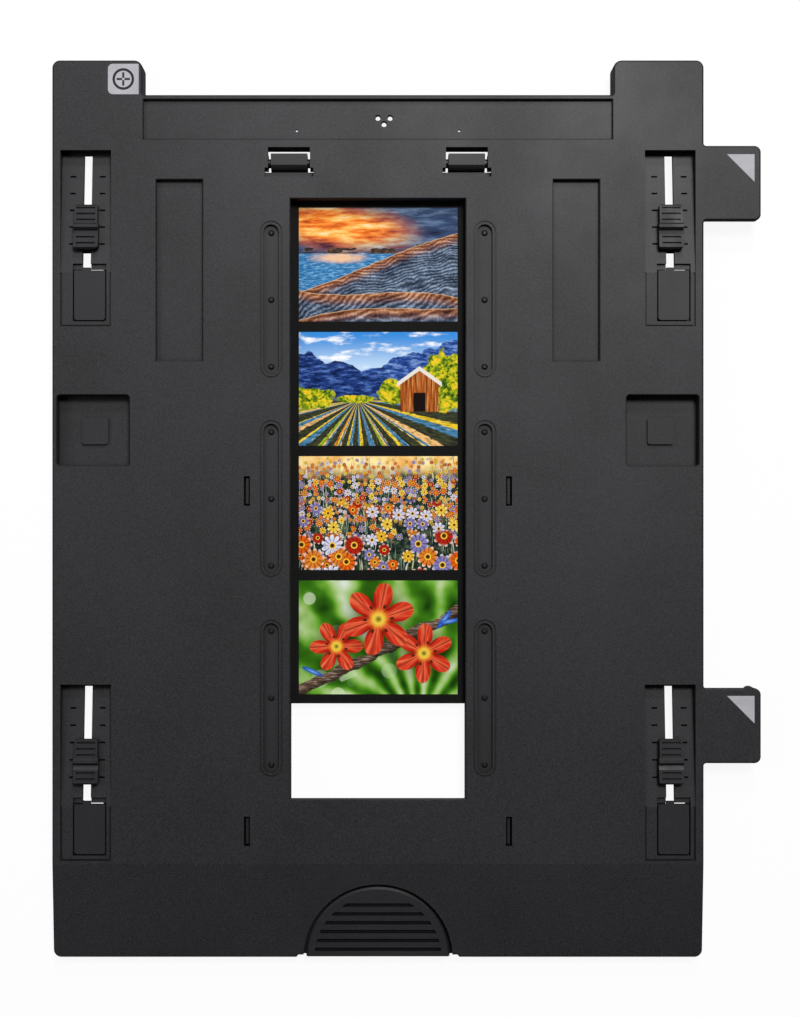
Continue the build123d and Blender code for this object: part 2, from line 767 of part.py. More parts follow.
def slot_plug():
    """Plug that closes the opening through which a slider is put in."""
    ledge = ramp_z(-plug_ledge, ramp_floor)
    rear_edge = -hole_start - plug_rear_gap
    plate = block(pocket_left + plug_gap, pocket_right - plug_gap, plug_gap - pocket_end, rear_edge,
                  ledge, level_z - plug_sink)
    front_edges = plate.edges().filter_by(Axis.Z).group_by(Axis.Y)[0]
    plate = fillet(front_edges, plug_corner)
    outer_left = pocket_left - plug_overlap
    outer_right = pocket_right + plug_overlap
    flange_rear = rear_edge - plug_setback
    flange = block(outer_left, outer_right, -pocket_end - plug_overlap, flange_rear,
                   ledge - plug_flange, ledge)
    for x0, x1 in ((outer_left, slot_left), (slot_right + plug_slit, outer_right)):
        flange += block(x0, x1, flange_rear, -plug_ledge, ledge - plug_flange, ledge)
    nub = block(slot_left + neck_gap, slot_right - neck_gap, rear_edge - 1, rear_edge + plug_nub,
                ledge, level_z - plug_sink)
    return plate + flange + nub


# ------------------------------------------------------------ grip and label
def finger_grip():
    """Half-round ribbed pad on the front slope with two pegs through its seat."""
    pad = Pos(0, 0, -grip_thickness / 2) * Cylinder(grip_radius, grip_thickness)
    pad &= block(-grip_radius, grip_radius, grip_setback, 2 * grip_radius, -2 * grip_thickness, 1)
    arc = pad.edges().filter_by(GeomType.CIRCLE).group_by(Axis.Z)[-1]
    pad = chamfer(arc, grip_bevel)
    for ridge in range(grip_ridges):
        y = ridge_front + grip_setback + ridge * ridge_pitch
        bar = block(-grip_radius, grip_radius, y, y + ridge_width, -ridge_depth, 1)
        pad -= bar & Cylinder(grip_radius - ridge_margin, 4 * grip_thickness)
    for _, sign in sides:
        peg = Cylinder(peg_radius, wall + peg_below)
        pad += Pos(sign * peg_spacing / 2, peg_y, -grip_thickness - (wall + peg_below) / 2) * peg
    return grip_seat() * pad


def label_pad():
    """Stick-on label at the inner corner of the left horn."""
    plan = RectangleRounded(label_width, label_length, label_corner)
    plan += Pos(label_width / 4, 0) * Rectangle(label_width / 2, label_length)
    x = -notch_width / 2 - label_side - label_width / 2
    y = rear - label_inset - label_length / 2
    return Pos(x, y, top) * extrude(plan, label_thickness)


# ------------------------------------------------------------ build and export
def build_nodes():
    """All pieces by node name."""
    nodes = {"main_frame": main_frame(), "film_cover": film_cover(), "film_strip": film_strip()}
    nodes["finger_grip"] = finger_grip()
    nodes["label_pad"] = label_pad()
    rows = ("front", "middle", "rear")
    for side, sign in sides:
        nodes[f"hinge_pin_{side}"] = hinge_pin(sign * hinge_spacing / 2)
        for row, y in zip(rows, rail_ys):
            nodes[f"film_guide_{row}_{side}"] = film_guide(sign, y)
    slider = height_slider()
    plug = slot_plug()
    for name, place in adjuster_places():
        nodes[f"height_slider_{name}"] = place * slider
        nodes[f"slot_plug_{name}"] = place * plug
    return nodes


for node_name, piece in build_nodes().items():
    export_step(to_origin * piece, f"parts/{node_name}.step")
    print(node_name, len(piece.solids()), "solid(s)")
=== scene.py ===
# %% [markdown]
# # A medium-format negative carrier
# The carrier is a flat moulded frame that lies on a scanner's glass. It holds one strip of roll
# film in a long window, clamped from below by a hinged cover, and four sliders set its height.
# The CAD frame already has every part with a real size, so this script gives those parts their
# finish, and adds what is printed, painted or exposed: the film's pictures, the label, the index
# triangles and the paint in the height marks.

import math

import bmesh
import bpy
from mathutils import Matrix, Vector


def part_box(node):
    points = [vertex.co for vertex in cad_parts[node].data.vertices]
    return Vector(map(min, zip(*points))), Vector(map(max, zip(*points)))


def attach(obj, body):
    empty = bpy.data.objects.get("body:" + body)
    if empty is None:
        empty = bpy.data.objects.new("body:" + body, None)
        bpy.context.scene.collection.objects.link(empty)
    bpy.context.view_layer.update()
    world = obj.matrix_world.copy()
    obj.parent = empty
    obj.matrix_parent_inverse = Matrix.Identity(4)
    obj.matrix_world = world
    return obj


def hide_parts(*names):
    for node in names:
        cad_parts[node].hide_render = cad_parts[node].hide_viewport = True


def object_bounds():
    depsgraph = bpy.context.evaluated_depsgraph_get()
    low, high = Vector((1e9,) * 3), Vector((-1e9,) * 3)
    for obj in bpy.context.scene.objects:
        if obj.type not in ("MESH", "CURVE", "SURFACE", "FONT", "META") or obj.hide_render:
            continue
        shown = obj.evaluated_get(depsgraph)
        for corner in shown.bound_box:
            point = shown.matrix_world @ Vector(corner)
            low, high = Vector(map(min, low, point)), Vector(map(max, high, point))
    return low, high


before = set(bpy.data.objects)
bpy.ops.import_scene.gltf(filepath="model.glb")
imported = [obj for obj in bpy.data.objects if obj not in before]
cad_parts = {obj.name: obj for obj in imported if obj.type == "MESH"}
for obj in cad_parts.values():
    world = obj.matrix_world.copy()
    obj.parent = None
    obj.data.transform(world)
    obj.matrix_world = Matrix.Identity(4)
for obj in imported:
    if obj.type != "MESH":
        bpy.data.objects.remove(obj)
cad_low, cad_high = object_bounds()
MM = 0.001
box_size = [round(length / MM, 1) for length in cad_high - cad_low]
print("CAD box", box_size, "mm,", len(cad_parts), "nodes")

# %% [markdown]
# ## Writing materials in words
# A procedural material is a graph of nodes. Wiring it by hand in the editor is easy to follow on
# screen and hard to read in a script, so a small painter object adds one node per call and gives
# back its output socket. A recipe then reads from top to bottom like a list of paint layers. The
# first half of the painter only places nodes, links them and does sums.

# %% Nodes, links and sums
class Wiring:
    """Adds nodes to one material and feeds plain numbers or sockets into them."""

    def __init__(self, name, shine=0.5):
        self.material = bpy.data.materials.new(name)
        self.material.use_nodes = True
        self.nodes = self.material.node_tree.nodes
        self.links = self.material.node_tree.links
        self.shader = self.nodes["Principled BSDF"]
        self.shader.inputs["Specular IOR Level"].default_value = shine
        self.place = self.add("ShaderNodeTexCoord").outputs["Object"]

    def add(self, kind, **settings):
        node = self.nodes.new(kind)
        for key, value in settings.items():
            setattr(node, key, value)
        return node

    def feed(self, socket, value):
        if isinstance(value, bpy.types.NodeSocket):
            self.links.new(value, socket)
        elif value is not None:
            socket.default_value = value

    def put(self, kind, *values, **settings):
        """A node's outputs, with its inputs fed in order."""
        node = self.add(kind, **settings)
        for socket, value in zip(node.inputs, values):
            self.feed(socket, value)
        return node.outputs

    def math(self, operation, *values):
        return self.put("ShaderNodeMath", *values, operation=operation)[0]

    def times(self, value, factor):
        return self.math("MULTIPLY", value, factor)

    def minus(self, value, less):
        return self.math("SUBTRACT", value, less)

    def scaled(self, value, factor, added):
        """The value times a factor, and something added."""
        return self.math("MULTIPLY_ADD", value, factor, added)

    def apart(self, first, second):
        """How far two values lie apart."""
        return self.math("ABSOLUTE", self.minus(first, second))

    def arches(self, value):
        """A sine without its sign, which is a row of equal arches."""
        return self.math("ABSOLUTE", self.math("SINE", value))

    def vector(self, operation, *values):
        return self.put("ShaderNodeVectorMath", *values, operation=operation)

    def length(self, vector):
        return self.vector("LENGTH", vector)["Value"]

    def split(self, vector):
        return self.put("ShaderNodeSeparateXYZ", vector)

    def joined(self, x, y):
        return self.put("ShaderNodeCombineXYZ", x, y)[0]


print("wiring ready")

# %% [markdown]
# ## Colours, masks and patterns
# The second half of the painter knows what a finish is made of. A fade turns a value into a mask
# from 0 to 1, a ramp turns it into a colour, and a mix lays one colour over another through a
# mask. A Mix node has sockets for numbers and for vectors before the ones for colours, so the
# colour sockets are picked by their place.

# %% The painter
MIX_UNDER, MIX_OVER, MIX_RESULT = 6, 7, 2


def linear(red, green, blue):
    """Colour as seen on a screen, 0 to 255, turned into the linear light that shaders use."""
    channels = []
    for value in (red, green, blue):
        part = value / 255
        channels.append(part / 12.92 if part <= 0.04045 else ((part + 0.055) / 1.055) ** 2.4)
    return (*channels, 1.0)


class Painter(Wiring):
    """Wiring that also knows colours, masks and patterns."""

    def mix(self, factor, under, over):
        """One colour over another; three plain numbers are a screen colour."""
        node = self.add("ShaderNodeMix", data_type="RGBA")
        if isinstance(over, tuple) and len(over) == 3:
            over = linear(*over)
        for place, value in ((0, factor), (MIX_UNDER, under), (MIX_OVER, over)):
            self.feed(node.inputs[place], value)
        return node.outputs[MIX_RESULT]

    def fade(self, value, start, end, low=0.0, high=1.0):
        """Smooth step from low, where the value is at start, to high, where it is at end."""
        return self.put("ShaderNodeMapRange", value, start, end, low, high,
                        interpolation_type="SMOOTHSTEP")[0]

    def ramp(self, value, stops, steps=False):
        node = self.add("ShaderNodeValToRGB")
        self.feed(node.inputs[0], value)
        ramp = node.color_ramp
        ramp.interpolation = "CONSTANT" if steps else "LINEAR"
        while len(ramp.elements) < len(stops):
            ramp.elements.new(0.5)
        for element, (position, colour) in zip(ramp.elements, stops):
            element.position = position
            element.color = linear(*colour)
        return node.outputs[0]

    def mottled(self, shade, tone, start, end, dark, light):
        """The shade times one factor where the tone is low and another where it is high."""
        ends = [tuple(channel * factor for channel in shade) for factor in (dark, light)]
        return self.ramp(self.fade(tone, start, end), list(zip((0.0, 1.0), ends)))

    def texture(self, kind, vector, inputs, **settings):
        """Node that reads a vector, with its other inputs set by name."""
        node = self.add(kind, **settings)
        self.feed(node.inputs["Vector"], vector)
        for name, value in inputs.items():
            node.inputs[name].default_value = value
        return node

    def mapping(self, vector, move=(0, 0, 0), turn=0.0, scale=(1, 1, 1)):
        inputs = {"Location": move, "Rotation": (0, 0, turn), "Scale": scale}
        return self.texture("ShaderNodeMapping", vector, inputs).outputs[0]

    def noise(self, vector, scale, detail, roughness=0.5):
        inputs = {"Scale": scale, "Detail": detail, "Roughness": roughness}
        return self.texture("ShaderNodeTexNoise", vector, inputs).outputs[0]

    def cells(self, vector, scale, spread=1.0):
        inputs = {"Scale": scale, "Randomness": spread}
        return self.texture("ShaderNodeTexVoronoi", vector, inputs, voronoi_dimensions="2D")

    def waves(self, vector, scale, distortion, detail=2.0):
        inputs = {"Scale": scale, "Distortion": distortion, "Detail": detail}
        return self.texture("ShaderNodeTexWave", vector, inputs).outputs["Fac"]

    def bump(self, height, strength, depth):
        node = self.add("ShaderNodeBump")
        self.feed(node.inputs["Height"], height)
        node.inputs["Strength"].default_value = strength
        node.inputs["Distance"].default_value = depth
        return node.outputs[0]

    def painted_corner_shade(self, colour, reach, strength):
        """Painted shade: colour darkened in inner corners, grooves and slots, where ambient
        occlusion finds them.
        """
        node = self.add("ShaderNodeAmbientOcclusion", samples=8)
        node.inputs["Distance"].default_value = reach
        shade_mask = self.fade(node.outputs["AO"], 0.95, 0.45, 0.0, strength)
        return self.mix(shade_mask, colour, (4, 4, 4))

    def finish(self, colour, roughness, normal=None):
        self.feed(self.shader.inputs["Base Color"], colour)
        self.feed(self.shader.inputs["Roughness"], roughness)
        self.feed(self.shader.inputs["Normal"], normal)
        return self.material


print("painter ready")

# %% [markdown]
# ## Charcoal moulded plastic
# The frame is moulded in a spark-eroded tool, which leaves a fine, even grain a third of a
# millimetre across. Four layers make it: a grain in the bump, the same grain lightly in the
# colour, so that it still shows in flat light, a slow drift in roughness with a few scuffs, like
# the sheen left by handling, and painted shade that darkens inner corners, grooves and slots. A
# bitmap could do most of this, but noise on Object coordinates never repeats and needs no
# unwrapping. Scales count the features in each metre.

# %% Grained plastic
GRAIN = 0.34 * MM
GRAIN_DEPTH = 0.05 * MM
GRAIN_CORNERS = 2.2 * MM
CLOUD_SCALE, SCUFF_SCALE = 22.0, 900.0
SCUFF_SHARE, SCUFF_POLISH = 0.15, -0.12
GLOSS_DRIFT = 0.03


def grained_plastic(name, shade, grain=GRAIN, roughness=0.52, bump=0.3, corner_shade=0.75):
    """Matte moulded plastic with a fine grain; `shade` is its screen colour."""
    paint = Painter(name, shine=0.34)
    fine = paint.noise(paint.place, 1 / grain, detail=3.0, roughness=0.65)
    drift = paint.noise(paint.place, CLOUD_SCALE, detail=3.0, roughness=0.6)
    drawn_out = paint.mapping(paint.place, scale=(1, 0.22, 1))
    scuffs = paint.noise(drawn_out, SCUFF_SCALE, detail=2.0)
    tone = paint.scaled(drift, 0.2, paint.times(fine, 0.8))
    colour = paint.mottled(shade, tone, 0.36, 0.64, dark=0.6, light=1.4)
    # Painted shade darkens the colour in inner corners, grooves and slots.
    colour = paint.painted_corner_shade(colour, GRAIN_CORNERS, corner_shade)
    gloss = paint.fade(drift, 0.35, 0.75, roughness + GLOSS_DRIFT, roughness - GLOSS_DRIFT)
    worn = paint.times(paint.fade(scuffs, 0.62, 0.72), SCUFF_SHARE)
    gloss = paint.scaled(worn, SCUFF_POLISH, gloss)
    return paint.finish(colour, gloss, paint.bump(fine, bump, GRAIN_DEPTH))


frame_plastic = grained_plastic("frame_plastic", (32, 32, 34.5))
cover_plastic = grained_plastic("cover_plastic", (27, 27, 29), roughness=0.5)
# The grip's grooves get the darkest painted shade.
grip_plastic = grained_plastic("grip_plastic", (33, 33, 35.5), grain=0.28 * MM, corner_shade=0.97)
plug_plastic = grained_plastic("plug_plastic", (30, 30, 32.5), grain=0.3 * MM, bump=0.25)
print("grained plastics for the frame, the cover, the grip and the plugs")

# %% [markdown]
# ## Slippery black plastic
# Sliders and guide rails are acetal, which slides well on other plastics: no grain, a soft sheen
# and faint flow lines along the moulding, which are noise stretched along y. Inner corners get the
# same painted shade as the frame.

# %% Acetal
FLOW_SCALE, FLOW_DEPTH = 700.0, 0.03 * MM
ACETAL_CORNERS, ACETAL_CORNER_SHADE = 1.4 * MM, 0.9


def acetal(name, shade, roughness):
    """Smooth self-lubricating plastic with faint flow lines."""
    paint = Painter(name, shine=0.3)
    flow = paint.noise(paint.mapping(paint.place, scale=(1, 0.15, 1)), FLOW_SCALE, detail=3.0)
    cloud = paint.noise(paint.place, 120.0, detail=2.0)
    tone = paint.scaled(flow, 0.5, paint.times(cloud, 0.5))
    colour = paint.mottled(shade, tone, 0.3, 0.7, dark=0.85, light=1.15)
    # Painted shade darkens the colour in inner corners and slots.
    colour = paint.painted_corner_shade(colour, ACETAL_CORNERS, ACETAL_CORNER_SHADE)
    gloss = paint.fade(cloud, 0.3, 0.7, roughness + 0.06, roughness - 0.05)
    return paint.finish(colour, gloss, paint.bump(flow, 0.12, FLOW_DEPTH))


slider_plastic = acetal("slider_plastic", (32, 32, 35), roughness=0.5)
guide_plastic = acetal("guide_plastic", (26, 26, 28), roughness=0.45)
print("acetal for the sliders and the guide rails")

# %% [markdown]
# ## Blackened steel
# The two hinge pins are steel under a thin black oxide. It's metallic, but not fully, because the
# oxide hides part of the metal, and rings of a wave texture stand for the turning marks.

# %% Steel
def blackened_steel(name):
    """Pin steel under a thin black oxide, with turning marks."""
    paint = Painter(name)
    paint.shader.inputs["Metallic"].default_value = 0.7
    rings = paint.waves(paint.place, 1800.0, distortion=1.5)
    cloud = paint.noise(paint.place, 600.0, detail=3.0)
    colour = paint.ramp(cloud, [(0.3, (28, 28, 30)), (0.75, (52, 51, 50))])
    gloss = paint.fade(cloud, 0.3, 0.7, 0.42, 0.3)
    return paint.finish(colour, gloss, paint.bump(rings, 0.1, 0.01 * MM))


pin_steel = blackened_steel("pin_steel")
print("steel for the hinge pins")

# %% [markdown]
# ## Dressing the CAD parts
# The parts that come in several copies have names that start alike, such as the six guide rails,
# so one table from the start of a name to a material dresses them all.

# %% Dress the CAD nodes
FINISHES = {"main_frame": frame_plastic, "film_cover": cover_plastic,
            "finger_grip": grip_plastic, "film_guide": guide_plastic,
            "height_slider": slider_plastic, "slot_plug": plug_plastic, "hinge_pin": pin_steel}
for name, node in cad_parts.items():
    for start, finish in FINISHES.items():
        if name.startswith(start):
            node.data.materials.clear()
            node.data.materials.append(finish)
            print(name, "->", finish.name)

# %% [markdown]
# ## The strip of film
# A strip of roll film is a dark base with four pictures in it. The strip could be one face with a
# material that finds the pictures by position, but then every picture's recipe runs everywhere.
# Cutting the top of the strip along the pictures' edges gives each picture its own face and its
# own material, and the edges are exactly straight. The strip stays a closed sheet.

# %% Film mesh with a face for each picture
PICTURE_WIDTH = 55.25 * MM
PICTURE_HEIGHT = 39.6 * MM
PICTURE_PITCH = 43.27 * MM
PICTURES = 4
PICTURES_ASIDE = 0.1 * MM
STRIP_END = 3.2 * MM
film_low, film_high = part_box("film_strip")
film_x = (film_low.x + film_high.x) / 2 + PICTURES_ASIDE
picture_x = (film_x - PICTURE_WIDTH / 2, film_x + PICTURE_WIDTH / 2)
picture_y = [film_low.y + STRIP_END + index * PICTURE_PITCH for index in range(PICTURES)]


def film_mesh():
    """Closed sheet whose top is cut along the edges of the pictures."""
    mesh = bmesh.new()
    bmesh.ops.create_cube(mesh, size=1.0)
    size = film_high - film_low
    middle = (film_high + film_low) / 2
    for vertex in mesh.verts:
        vertex.co = Vector(vertex.co[axis] * size[axis] + middle[axis] for axis in range(3))
    cuts = [(Vector((x, 0, 0)), Vector((1, 0, 0))) for x in picture_x]
    for y in picture_y:
        cuts += [(Vector((0, edge, 0)), Vector((0, 1, 0))) for edge in (y, y + PICTURE_HEIGHT)]
    for point, normal in cuts:
        everything = mesh.verts[:] + mesh.edges[:] + mesh.faces[:]
        bmesh.ops.bisect_plane(mesh, geom=everything, plane_co=point, plane_no=normal)
    for face in mesh.faces:
        centre = face.calc_center_median()
        across = picture_x[0] < centre.x < picture_x[1]
        for index, y in enumerate(picture_y):
            if across and y < centre.y < y + PICTURE_HEIGHT and abs(face.normal.z) > 0.5:
                face.material_index = 1 + index
    data = bpy.data.meshes.new("film")
    mesh.to_mesh(data)
    mesh.free()
    return data


def placed(name, data):
    """New object at the origin that carries a mesh, a lamp or a camera."""
    thing = bpy.data.objects.new(name, data)
    bpy.context.scene.collection.objects.link(thing)
    return thing


film = placed("film", film_mesh())
print("film", len(film.data.polygons), "faces")

# %% [markdown]
# ## Film base
# Unexposed edges of processed reversal film are nearly black, with a breath of warm brown. Fine
# scratches run along the strip, because that is how it is pulled, so their noise is stretched
# along y.

# %% Film base
def film_base():
    paint = Painter("film_base", shine=0.02)
    scratches = paint.noise(paint.mapping(paint.place, scale=(1, 0.02, 1)), 2600.0, detail=2.0)
    colour = paint.ramp(scratches, [(0.3, (22, 22, 22)), (0.8, (28, 27, 26))])
    gloss = paint.fade(scratches, 0.55, 0.75, 0.4, 0.5)
    return paint.finish(colour, gloss, paint.bump(scratches, 0.04, 0.01 * MM))


film.data.materials.append(film_base())
print("film base with scratches")

# %% [markdown]
# ## Painting pictures with noise
# Each picture is a small landscape of layers. Everything is placed in the picture's own
# coordinates: u runs from 0 to 1.4 across it and v from 0 to 1 up it. A layer is a colour recipe
# and a mask, and a mask's edge is made ragged by adding noise to u or v before it is compared.

# %% Coordinates and layers of a picture
FILM_GLOSS = 0.34


class Picture(Painter):
    """Painter whose coordinates start at a picture's lower left corner."""

    def __init__(self, name, index):
        super().__init__(name, shine=0.04)
        unit = 1 / PICTURE_HEIGHT
        move = (-picture_x[0] * unit, -picture_y[index] * unit, 0)
        self.spot = self.mapping(self.place, move=move, scale=(unit, unit, 0))
        self.u, self.v, _ = self.split(self.spot)

    def wobble(self, value, scale, amount, detail=4.0):
        """The value pushed about by noise, for ragged edges."""
        shake = self.minus(self.noise(self.spot, scale, detail), 0.5)
        return self.scaled(shake, amount, value)

    def warp(self, scale, amount):
        """The picture's coordinates bent by noise."""
        shift = self.texture("ShaderNodeTexNoise", self.spot, {"Scale": scale}).outputs["Color"]
        return self.vector("MULTIPLY_ADD", shift, (amount, amount, 0), self.spot)[0]

    def streaks(self, along, across, scale, detail, roughness, turn=0.0):
        """Noise squeezed by two factors in the picture's turned coordinates."""
        squeezed = self.mapping(self.spot, turn=turn, scale=(along, across, 1))
        return self.noise(squeezed, scale, detail, roughness)

    def local(self, u, v, wide, high, turn):
        """Coordinates that start at (u, v), are turned, and reach 1 at the given distances."""
        turned = self.mapping(self.mapping(self.spot, move=(-u, -v, 0)), turn=turn)
        return self.mapping(turned, scale=(1 / wide, 1 / high, 0))

    def blob(self, u, v, wide, high, turn=0.0, *, soft, scale, ragged):
        """Mask of an ellipse with a ragged edge, 1 inside, and the distance from its middle."""
        reach = self.length(self.local(u, v, wide, high, -turn))
        reach = self.wobble(reach, scale, ragged)
        return self.fade(reach, 1 + soft, 1 - soft), reach

    def done(self, colour):
        return self.finish(colour, FILM_GLOSS)


print("pictures start at", [round(y / MM, 1) for y in picture_y], "mm")

# %% [markdown]
# ## Flowers in polar coordinates
# Two of the pictures need flowers. In polar coordinates a flower is short to write: its outline
# swings with the angle, once for each petal, and folds that run outwards are noise that varies
# quickly round the flower and slowly along it.

# %% Flower recipe
class Garden(Picture):
    """Picture painter that can draw flowers."""

    def polar(self, vector):
        """Distance from a vector's origin, and the angle round it."""
        reach = self.length(vector)
        x, y, _ = self.split(vector)
        return reach, self.math("ARCTAN2", y, x)

    def petals(self, radius, angle, count, soft, slim, point=0.6):
        """Mask of a flower of size 1, and how near the angle is to a petal's middle."""
        swing = self.arches(self.times(angle, count / 2))
        reach = self.scaled(self.math("POWER", swing, point), slim, 1 - slim)
        return self.fade(self.minus(reach, radius), 0.0, soft), swing

    def folds(self, radius, angle, round_scale, along=1.6):
        """Noise that runs outwards from the middle of a flower."""
        place = self.joined(self.times(angle, round_scale), self.times(radius, along))
        return self.noise(place, 1.0, 3.0, 0.55)

    def strewn(self, scale, spread=0.75):
        """Each cell's own coordinates, 1 at the flower's rim, and its three random numbers."""
        cell = self.cells(self.spot, scale, spread=spread)
        away = self.vector("SUBTRACT", self.spot, cell.outputs["Position"])[0]
        own = self.mapping(away, scale=(scale * 2, scale * 2, 0))
        return own, self.split(cell.outputs["Color"])


print("flower recipe ready")

# %% [markdown]
# ## First picture: red lilies against soft green leaves
# Broad leaves rise from the lower right, out of focus: the angle round a point below the picture
# drives a wave, and noise breaks it into light and dark. Round spots of light lie over them. A
# brown stem crosses the picture, where bark is noise stretched along the stem's slope.

# %% Leaves and stem
def soft_leaves(art):
    """Leaves that fan out from below the picture, with round spots of light."""
    _, angle = art.polar(art.mapping(art.spot, move=(-1.05, 0.3, 0)))
    stripes = art.math("SINE", art.times(art.wobble(angle, 2.0, 0.3, 2.0), 19.0))
    shade = art.scaled(stripes, 0.22, art.noise(art.spot, 3.2, 2.0))
    leaves = art.ramp(shade, [(0.2, (24, 62, 10)), (0.4, (58, 118, 20)), (0.55, (106, 164, 50)),
                              (0.7, (164, 196, 120)), (0.86, (212, 224, 206))])
    spots, (size, light, _) = art.strewn(4.6, 1.0)
    far, _ = art.polar(spots)
    disc = art.fade(art.minus(art.scaled(size, 0.5, 0.35), far), 0.0, 0.12)
    glow = art.times(disc, art.fade(light, 0.35, 1.0, 0.0, 0.5))
    upper_left = art.fade(art.u, 1.2, 0.2)
    return art.mix(art.times(glow, upper_left), leaves, (226, 238, 206))


def stem(art, colour):
    """A ragged stem that climbs to the right and is dark below."""
    middle = art.scaled(art.u, 0.5, 0.02)
    bent = art.wobble(art.v, 4.0, 0.14)
    bark = art.streaks(5, 34, 1.8, 6.0, 0.7, turn=0.46)
    wood = art.ramp(bark, [(0.34, (30, 22, 18)), (0.5, (96, 74, 60)), (0.66, (178, 158, 140))])
    below = art.fade(art.minus(middle, bent), -0.01, 0.05, 0.0, 0.7)
    wood = art.mix(below, wood, (20, 16, 14))
    return art.mix(art.fade(art.apart(bent, middle), 0.062, 0.052), colour, wood)


print("leaves and stem ready")

# %% [markdown]
# Three red heads stand in front, each with a shadow round it, a crease along every petal, a
# yellow throat and a ring of dark anthers. Three thin blue buds lie at the sides. A head is given
# by its place, its size and its turn, and a bud by its place, its two half lengths and its turn.

# %% Lilies
HEADS = ((0.33, 0.42, 0.24, 0.5), (1.1, 0.36, 0.27, 1.1), (0.7, 0.66, 0.33, 0.2))
BUDS = ((1.28, 0.66, 0.1, 0.022, 0.9), (1.32, 0.64, 0.09, 0.02, 0.2), (0.12, 0.2, 0.1, 0.02, -0.4))
LILY_PETALS = 6
ANTHER_RING = 0.36


def lily(art, colour, u, v, size, turn):
    radius, angle = art.polar(art.local(u, v, size, size, turn))
    colour = art.mix(art.fade(radius, 1.15, 0.45, 0.0, 0.6), colour, (12, 30, 8))
    ragged = art.wobble(radius, 9.0, 0.1)
    mask, swing = art.petals(ragged, angle, LILY_PETALS, soft=0.05, slim=0.62, point=0.75)
    fold = art.folds(radius, angle, 11.0)
    tone = art.scaled(swing, 0.36, art.times(fold, 0.62))
    red = art.ramp(tone, [(0.2, (84, 10, 8)), (0.42, (164, 26, 16)), (0.58, (206, 52, 30)),
                          (0.74, (236, 112, 72))])
    red = art.mix(art.fade(swing, 0.985, 0.999, 0.0, 0.6), red, (110, 14, 12))
    throat = art.ramp(radius, [(0.0, (60, 70, 16)), (0.12, (240, 204, 70)), (0.26, (230, 120, 40))])
    red = art.mix(art.fade(art.scaled(fold, 0.3, radius), 0.5, 0.3), red, throat)
    colour = art.mix(mask, colour, red)
    anthers = art.fade(art.arches(art.scaled(angle, LILY_PETALS / 2, 0.8)), 0.93, 0.98)
    ring = art.fade(art.apart(radius, ANTHER_RING), 0.07, 0.03)
    return art.mix(art.times(ring, anthers), colour, (66, 36, 24))


def red_lilies(index):
    art = Garden("picture_lilies", index)
    colour = stem(art, soft_leaves(art))
    for head in HEADS:
        colour = lily(art, colour, *head)
    for place in BUDS:
        bud, along = art.blob(*place, soft=0.12, scale=10.0, ragged=0.25)
        blue = art.ramp(along, [(0.0, (120, 170, 232)), (0.8, (36, 84, 176))])
        colour = art.mix(bud, colour, blue)
    return art.done(colour)


film.data.materials.append(red_lilies(0))
print("lilies painted")

# %% [markdown]
# ## Second picture: a meadow in evening light
# The meadow has four layers of flowers, small ones far up and large ones near. Each cell of a cell
# pattern holds one flower, and the cell's random numbers choose its colour, its turn and whether
# there is a flower at all. Grass blades are thin stretched noise, in three tints that lean three
# ways.

# %% Soil, light and grass
BLADES = ((0.35, 30.0, (206, 210, 150)), (-0.25, 36.0, (110, 150, 130)),
          (0.05, 44.0, (236, 232, 214)))


def grass(art):
    """Dark soil, golden light along the top, and blades (turn, fineness, tint) over both."""
    soil = art.noise(art.spot, 14.0, 6.0, 0.7)
    colour = art.ramp(soil, [(0.32, (8, 10, 14)), (0.5, (34, 48, 40)), (0.64, (96, 112, 82)),
                             (0.76, (196, 190, 150))])
    gold = art.ramp(art.noise(art.spot, 5.0, 4.0), [(0.3, (232, 150, 36)), (0.6, (255, 232, 160))])
    colour = art.mix(art.fade(art.wobble(art.v, 7.0, 0.22), 0.78, 0.94), colour, gold)
    for turn, fine, tint in BLADES:
        leaning = art.mapping(art.warp(3.0, 0.12), turn=turn, scale=(fine, 2.0, 1))
        blades = art.noise(leaning, 1.5, 2.0)
        colour = art.mix(art.fade(blades, 0.63, 0.68, 0.0, 0.8), colour, tint)
    return colour


print(len(BLADES), "kinds of blades")

# %% [markdown]
# A layer of flowers has a scale, a count of petals, the heights between which it lies, and the
# share of cells left empty. Petals get a dark fold, a dark line between them and a pale rim, and
# a shadow keeps each flower apart from those behind.

# %% Meadow
LAYERS = ((26.0, 6, 0.45, 1.0, 0.3), (15.0, 8, 0.28, 0.86, 0.4), (8.5, 8, 0.0, 0.62, 0.42),
          (5.0, 10, -0.3, 0.36, 0.5))
PETAL_COLOURS = [(0.0, (226, 98, 20)), (0.17, (240, 184, 44)), (0.31, (132, 126, 184)),
                 (0.45, (178, 36, 18)), (0.58, (214, 212, 236)), (0.7, (244, 206, 76)),
                 (0.85, (228, 128, 40))]
FULL_TURN = 6.28


